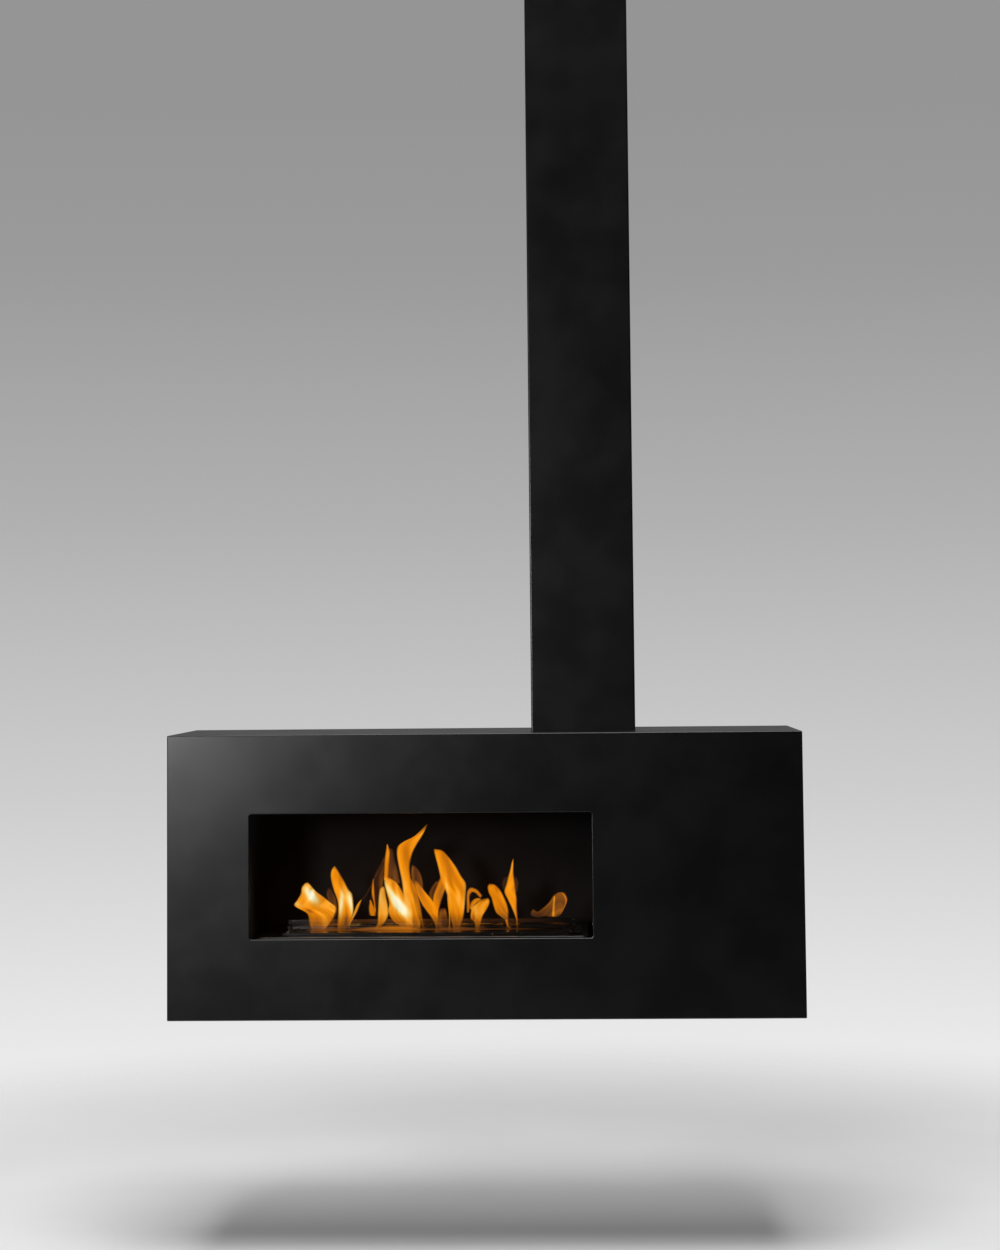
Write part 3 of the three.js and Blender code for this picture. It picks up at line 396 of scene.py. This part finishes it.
# Each flame has sheets (depth in the slot, heat, density, hollowness and its two edges from the root
# up as x, z, x, z) and hot spots (x, z, the half length's x and z, half width and heat), all from the
# burner's middle.
flames = {
    "flame_left": ([
        (-4, 0.6, 0.95, 0, [
            (-232, 7, -202, 7), (-236, 20, -194, 16), (-240, 36, -186, 30), (-264, 50, -182, 47),
            (-259, 61, -194, 57), (-252, 73, -206, 67), (-250, 85, -220, 77), (-244, 93, -230, 88),
            (-240, 95, -236, 95)
        ]),
        (8, 0.34, 0.35, 0, [
            (-194, 22, -186, 22), (-196, 47, -181, 39), (-203, 71, -184, 63), (-200, 84, -194, 84)
        ]),
    ], [
        (-229, 70, 12, -15, 8, 0.52),
        (-255, 53, 12, -5, 3, 0.16),
        (-229, 17, -1, -12, 3, 0.1),
        (-233, 42, 8, -2, 5, -0.22),
        (-205, 14, 0, -12, 4, 0.05),
    ]),
    "flame_second": ([
        (-3, 0.57, 0.97, 0, [
            (-182, 2, -163, 5), (-181, 20, -155, 16), (-180, 37, -149, 37), (-180, 53, -149, 55),
            (-183, 66, -151, 72), (-188, 79, -158, 81), (-192, 94, -166, 96), (-194, 108, -174, 110),
            (-192, 119, -180, 120), (-187, 126, -184, 126)
        ]),
        (3, 0.6, 0.85, 0, [
            (-159, 11, -157, 11), (-156, 22, -149, 26), (-150, 37, -142, 38), (-144, 51, -136, 53),
            (-135, 61, -133, 62)
        ]),
        (10, 0.22, 0.3, 0, [
            (-134, 61, -131, 59), (-128, 70, -123, 70), (-120, 84, -115, 84), (-113, 98, -110, 98),
            (-103, 116, -100, 114)
        ]),
    ], [
        (-173, 47, -2, -35, 4, 0.34),
        (-154, 55, 2, -24, 4, 0.3),
        (-162, 65, 0, -18, 12, 0.14),
        (-163, 22, 0, -14, 4, -0.14),
    ]),
    "flame_centre": ([
        (-8, 0.62, 0.97, 0, [
            (-58, 10, -34, 10), (-74, 21, -34, 19), (-83, 39, -34, 31), (-81, 54, -37, 46),
            (-85, 72, -49, 68), (-89, 88, -56, 81), (-90, 99, -65, 94), (-90, 106, -81, 105)
        ]),
        (-4, 0.64, 0.92, 0, [
            (-110, 5, -103, 6), (-104, 16, -92, 13), (-103, 35, -82, 29), (-102, 53, -82, 47),
            (-101, 68, -85, 64), (-99, 81, -87, 79), (-94, 87, -89, 87)
        ]),
        (4, 0.5, 0.85, 0, [
            (-92, 99, -81, 97), (-91, 117, -80, 115), (-90, 135, -79, 135), (-88, 150, -78, 152),
            (-86, 161, -81, 161), (-85, 167, -83, 167)
        ]),
        (9, 0.3, 0.5, 0, [
            (-83, 92, -59, 91), (-82, 115, -63, 113), (-81, 135, -69, 135), (-80, 150, -71, 152),
            (-82, 158, -76, 159)
        ]),
        (11, 0.28, 0.42, 0.5, [
            (-123, 31, -105, 29), (-121, 51, -102, 47), (-116, 74, -96, 68), (-115, 92, -92, 92),
            (-109, 111, -90, 109), (-97, 131, -89, 131), (-91, 143, -88, 143)
        ]),
        (2, 0.52, 0.8, 0, [
            (-110, 39, -106, 38), (-111, 55, -107, 51), (-115, 70, -108, 68), (-115, 84, -109, 84),
            (-113, 96, -110, 96), (-112, 101, -111, 101)
        ]),
        (3, 0.46, 0.62, 0, [
            (-119, 31, -107, 29), (-121, 43, -106, 39), (-120, 54, -111, 50), (-119, 61, -116, 60)
        ]),
    ], [
        (-58, 48, 17, -18, 9, 0.5),
        (-75, 74, 16, -22, 6, 0.22),
        (-80, 60, 6, -14, 2, -0.22),
        (-95, 64, 3, -25, 5, 0.12),
    ]),
    "flame_tall": ([
        (0, 0.58, 0.97, 0, [
            (-50, 11, -19, 11), (-51, 38, -24, 34), (-54, 68, -32, 68), (-57, 97, -37, 97),
            (-63, 127, -40, 123), (-66, 148, -35, 148), (-64, 162, -26, 166), (-53, 171, -17, 180),
            (-31, 182, -10, 193), (-6, 206, -5, 205)
        ]),
    ], [
        (-45, 40, 4, -25, 8, 0.28),
        (-51, 91, 2, -25, 4, 0.1),
        (-36, 19, 12, 0, 6, -0.05),
    ]),
    "flame_veil": ([
        (6, 0.5, 0.85, 0.25, [
            (-16, 5, -13, 5), (-21, 16, -14, 13), (-28, 38, -17, 30), (-34, 64, -22, 58),
            (-39, 87, -29, 81), (-41, 101, -36, 99)
        ]),
        (8, 0.52, 0.88, 0, [
            (6, 12, 15, 12), (-2, 27, 15, 30), (-14, 44, 13, 44), (-26, 66, 2, 60), (-32, 84, -12, 76),
            (-34, 98, -26, 96)
        ]),
        (12, 0.34, 0.62, 0.3, [
            (-18, 46, -5, 44), (-26, 64, -7, 62), (-36, 87, -14, 77), (-39, 105, -16, 95),
            (-39, 119, -20, 109), (-37, 127, -29, 123)
        ]),
    ], [
        (-24, 34, 6, -16, 3, 0.12),
    ]),
    "flame_right": ([
        (2, 0.57, 0.97, 0, [
            (40, 10, 58, 10), (36, 27, 63, 27), (33, 48, 66, 50), (30, 70, 68, 74), (20, 93, 68, 91),
            (16, 111, 59, 105), (12, 128, 49, 123), (8, 143, 35, 142), (6, 152, 23, 154), (5, 157, 8, 157)
        ]),
        (-3, 0.54, 0.85, 0, [
            (3, 36, 12, 25), (3, 53, 18, 48), (5, 70, 25, 70), (12, 89, 31, 89), (18, 104, 29, 104)
        ]),
        (7, 0.34, 0.5, 0.3, [(3, 55, 11, 44), (-5, 70, 9, 63), (1, 85, 15, 78), (11, 97, 20, 93)]),
        (5, 0.42, 0.6, 0, [(13, 8, 34, 8), (13, 23, 33, 23), (14, 36, 31, 35), (17, 44, 28, 44)]),
        (-7, 0.66, 0.9, 0, [
            (33, 3, 38, 3), (34, 16, 38, 16), (34, 33, 38, 33), (32, 53, 36, 53), (31, 70, 35, 70)
        ]),
    ], [
        (66, 63, -2, -32, 3, 0.2),
        (31, 85, 5, -26, 3, 0.16),
        (52, 55, -1, -28, 6, 0.08),
        (22, 55, 0, -19, 6, -0.2),
    ]),
    "flame_ring": ([
        (4, 0.48, 0.8, 0, [
            (68, 35, 74, 35), (68, 48, 76, 48), (68, 63, 75, 63), (69, 75, 78, 71), (76, 83, 82, 73),
            (88, 80, 87, 70), (96, 72, 92, 64), (100, 67, 95, 61)
        ]),
        (-3, 0.58, 0.9, 0.1, [
            (84, 5, 94, 5), (83, 16, 97, 17), (76, 24, 101, 30), (76, 35, 108, 41), (78, 44, 113, 51),
            (85, 50, 114, 58), (98, 61, 111, 64)
        ]),
        (6, 0.5, 0.72, 0, [(73, 44, 80, 38), (76, 54, 87, 50), (83, 61, 96, 56), (91, 63, 98, 60)]),
    ], [
        (86, 39, 1, -17, 4, 0.16),
        (82, 27, 0, -11, 2, -0.25),
    ]),
    "flame_leaf": ([
        (-4, 0.53, 0.94, 0.12, [
            (143, 18, 150, 17), (134, 27, 150, 26), (125, 35, 150, 39), (120, 48, 147, 52),
            (116, 63, 142, 64), (111, 73, 137, 74), (109, 84, 129, 85), (112, 91, 121, 90)
        ]),
        (-5, 0.6, 0.85, 0, [(155, 1, 157, 2), (149, 6, 152, 8), (145, 14, 149, 16), (142, 22, 148, 24)]),
    ], [
        (122, 38, 10, -12, 2, 0.16),
    ]),
    "flame_spire": ([
        (3, 0.58, 0.97, 0, [
            (164, 17, 167, 17), (160, 30, 167, 30), (154, 45, 166, 45), (147, 60, 166, 60),
            (141, 74, 164, 74), (145, 89, 163, 88), (149, 104, 161, 101), (153, 118, 160, 116),
            (156, 130, 160, 129), (159, 138, 160, 138)
        ]),
        (9, 0.26, 0.4, 0.4, [
            (141, 73, 167, 73), (136, 86, 169, 86), (138, 97, 169, 95), (144, 103, 165, 102)
        ]),
    ], [
        (161, 35, 4, -13, 2, 0.12),
    ]),
    "flame_bed": ([
        (-19, 0.5, 3.0, 0, [
            (-240, -1, -240, 6), (-205, -1, -205, 9), (-160, -1, -160, 7), (-120, -1, -120, 11),
            (-60, -1, -60, 13), (-10, -1, -10, 8), (50, -1, 50, 10), (120, -1, 120, 7),
            (180, -1, 180, 7), (250, -1, 250, 5)
        ]),
    ], [
        (-165, 3, 40, 0, 12, 0.1),
        (-75, 3, 30, 0, 12, 0.14),
        (-40, 3, 25, 0, 12, 0.1),
    ]),
    "flame_curl": ([
        (2, 0.38, 0.62, 0.25, [
            (192, 35, 193, 27), (197, 41, 198, 26), (205, 37, 206, 24), (216, 44, 218, 26),
            (228, 55, 232, 25), (237, 68, 243, 25), (249, 72, 251, 31), (260, 67, 256, 42),
            (264, 59, 262, 55)
        ]),
        (-3, 0.6, 0.8, 0, [(232, 28, 239, 27), (233, 43, 240, 43), (235, 58, 240, 58), (237, 66, 240, 66)]),
        (-2, 0.48, 0.62, 0, [
            (247, 28, 251, 33), (255, 42, 259, 47), (258, 57, 263, 59), (251, 70, 257, 72),
            (242, 69, 242, 72)
        ]),
    ], []),
}


def smooth_rows(points, count):
    """Evenly spaced points on a Catmull-Rom curve."""
    ends = [points[0], *points, points[-1]]
    rows = []
    for row in range(count + 1):
        at = row / count * (len(points) - 1)
        first = min(int(at), len(points) - 2)
        t = at - first
        rows.append([
            0.5 * (2 * q + (r - p) * t + (2 * p - 5 * q + 4 * r - s) * t * t
                   + (3 * q - p - 3 * r + s) * t ** 3)
            for p, q, r, s in zip(*ends[first:first + 4])
        ])
    return rows


def flame_sheet(depth, heat, density, hollow, edges, hot_spots, number):
    """Vertices, faces, and each vertex's glow, thickness and place in the streaks, of one bowed sheet."""
    left, low, right, low_right = edges[0]
    if min(low, low_right) < rooted_below:
        pinch = root_pinch * (right - left)
        edges = [(left + pinch, slot_depth, right - pinch, slot_depth), *edges]
    vertices, glows, thicknesses, flows = [], [], [], []
    for row, (x0, z0, x1, z1) in enumerate(smooth_rows(edges, flame_rows)):
        width = math.hypot(x1 - x0, z1 - z0)
        tip = min(1.0, (1 - row / flame_rows) * tip_sharpness)
        for column in range(flame_columns + 1):
            across = 0.5 - 0.5 * math.cos(math.pi * column / flame_columns)
            x, z = x0 + (x1 - x0) * across, z0 + (z1 - z0) * across
            middle = 4 * across * (1 - across)
            place = (x, depth - sheet_bow * width * middle, z)
            vertices.append([c + mm / 1000 for c, mm in zip(burner_centre, place)])
            edge = min(1.0, min(across, 1 - across) * width / min(edge_blur, 0.4 * width + 0.01))
            root = min(1.0, root_faintest + max(z - root_foot, 0) / root_height)
            glow = heat * (1 - root_cooling * (1 - root)) + edge_heat * (1 - middle) ** 2
            for spot_x, spot_z, run_x, run_z, half, gain in hot_spots:
                length = math.hypot(run_x, run_z)
                ahead = ((x - spot_x) * run_x + (z - spot_z) * run_z) / length
                aside = ((x - spot_x) * run_z - (z - spot_z) * run_x) / length
                glow += gain * math.exp(-(ahead / length) ** 2 - (aside / half) ** 2)
            glows.append(glow)
            thicknesses.append(density * edge ** edge_softness * root * (1 - hollow * middle) * tip)
            # Every sheet of a flame takes its streaks from another place in the noise.
            flows += [across * width / streak_width + number * 7, z / streak_length, number * 3]
    faces = []
    for row in range(flame_rows):
        for column in range(flame_columns):
            corner = row * (flame_columns + 1) + column
            above = corner + flame_columns + 1
            faces.append((corner, corner + 1, above + 1, above))
    return vertices, faces, glows, thicknesses, flows


# Burning vapour only glows: it has no surface, and its colour goes from brown by orange to pale yellow
# with its heat, in faint upright streaks.
burning_vapour, tree = new_material("burning_ethanol_vapour")
glow = node(tree, "Attribute", "Fac", {"attribute_name": "glow"})
thickness = node(tree, "Attribute", "Fac", {"attribute_name": "thickness"})
flow = node(tree, "Attribute", "Vector", {"attribute_name": "flow"})
streaks = node(tree, "TexNoise", "Fac", {"Scale": 1.0, "Detail": 1.0, "Distortion": 0.5}, {"Vector": flow})
flicker = node(tree, "Math", "Value",
               {"operation": "MULTIPLY_ADD", 1: streak_heat, 2: -streak_heat / 2}, {0: streaks})
hot = node(tree, "Math", "Value", {"operation": "ADD"}, {0: glow, 1: flicker})
colour = node(tree, "ValToRGB", "Color",
              {"stops": [(0.15, "#3a2112"), (0.30, "#7c4724"), (0.42, "#c4721f"), (0.52, "#f2890a"),
                         (0.60, "#ff9a14"), (0.70, "#ffb03c"), (0.80, "#ffcf72"), (0.90, "#ffe9a6"),
                         (1.0, "#fff7d2")]}, {"Fac": hot})
streaked = node(tree, "MapRange", "Result",
                {"interpolation_type": "SMOOTHSTEP", "From Min": 0.3, "From Max": 0.6,
                 "To Min": 0.72, "To Max": 1.06}, {"Value": streaks})
veil = node(tree, "Math", "Value", {"operation": "MULTIPLY"}, {0: thickness, 1: streaked})
vapour = node(tree, "BsdfPrincipled", "BSDF",
              {"Base Color": (0, 0, 0, 1), "Roughness": 1.0, "Specular IOR Level": 0.0,
               "Emission Strength": 1.0}, {"Emission Color": colour, "Alpha": veil})
node(tree, "OutputMaterial", links={"Surface": vapour})

for name, (sheets, hot_spots) in flames.items():
    vertices, faces, glows, thicknesses, flows = [], [], [], [], []
    for number, sheet in enumerate(sheets):
        points, quads, *values = flame_sheet(*sheet, hot_spots, number)
        faces += [tuple(index + len(vertices) for index in quad) for quad in quads]
        vertices += points
        for total, value in zip((glows, thicknesses, flows), values):
            total += value
    flame = new_piece(name, vertices, faces, burning_vapour)
    flame.data.attributes.new("glow", "FLOAT", "POINT").data.foreach_set("value", glows)
    flame.data.attributes.new("thickness", "FLOAT", "POINT").data.foreach_set("value", thicknesses)
    flame.data.attributes.new("flow", "FLOAT_VECTOR", "POINT").data.foreach_set("vector", flows)
    flame.visible_diffuse = False
    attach(flame, "burner")
    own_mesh(flame)

# Firelight: three weak orange lamps in the slot give the firebox the light of the flames, which cast
# none themselves. They aren't mirrored, because the flames are.

firelight = "#ff9a3c"
# name, place, aimed at, width, height, watts
fire_lamps = [
    ("glow_left", (-0.51, -0.15, -1.82), (-0.51, 0.02, -1.80), 0.10, 0.05, 0.035),
    ("glow_centre", (-0.36, -0.15, -1.80), (-0.36, 0.02, -1.76), 0.16, 0.10, 0.09),
    ("glow_right", (-0.18, -0.15, -1.82), (-0.18, 0.02, -1.80), 0.16, 0.06, 0.05),
]
for lamp in fire_lamps:
    add_lamp(*lamp, firelight).visible_glossy = False
